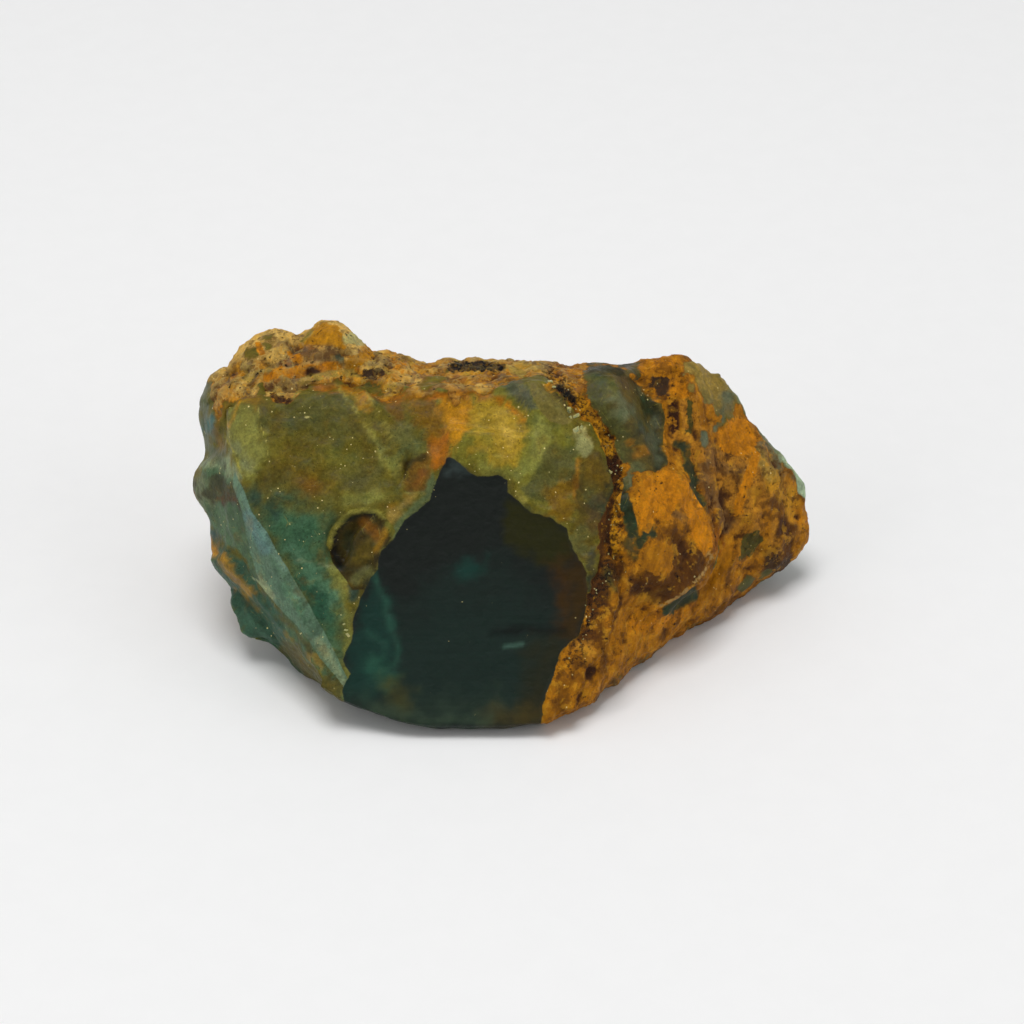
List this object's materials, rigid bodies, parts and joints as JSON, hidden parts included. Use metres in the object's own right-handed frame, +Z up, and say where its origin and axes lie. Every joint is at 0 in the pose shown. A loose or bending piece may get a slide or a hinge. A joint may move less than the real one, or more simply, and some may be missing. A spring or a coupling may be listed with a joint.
{
  "type": "raw fluorite stone",
  "caption": "Rough, hand-sized piece of weathered fluorite: one tapered stone with a flat resting face, a bare dark window in its rind and a rusty crust.",
  "frame": {"origin": "middle of the stone's outline seen from above, on the plane that it rests on", "axes": "+X along the stone to its tapered tail, +Y from the broken front face to the back, +Z up"},
  "size_m": [0.0628, 0.0388, 0.0292],
  "materials": {
    "stone": "semi-matt dark teal, olive and ochre fluorite, with a smoother dark window and a rough rusty crust"
  },
  "bodies": {
    "root": {"fluorite_stone": "stone"}
  },
  "joints": []
}
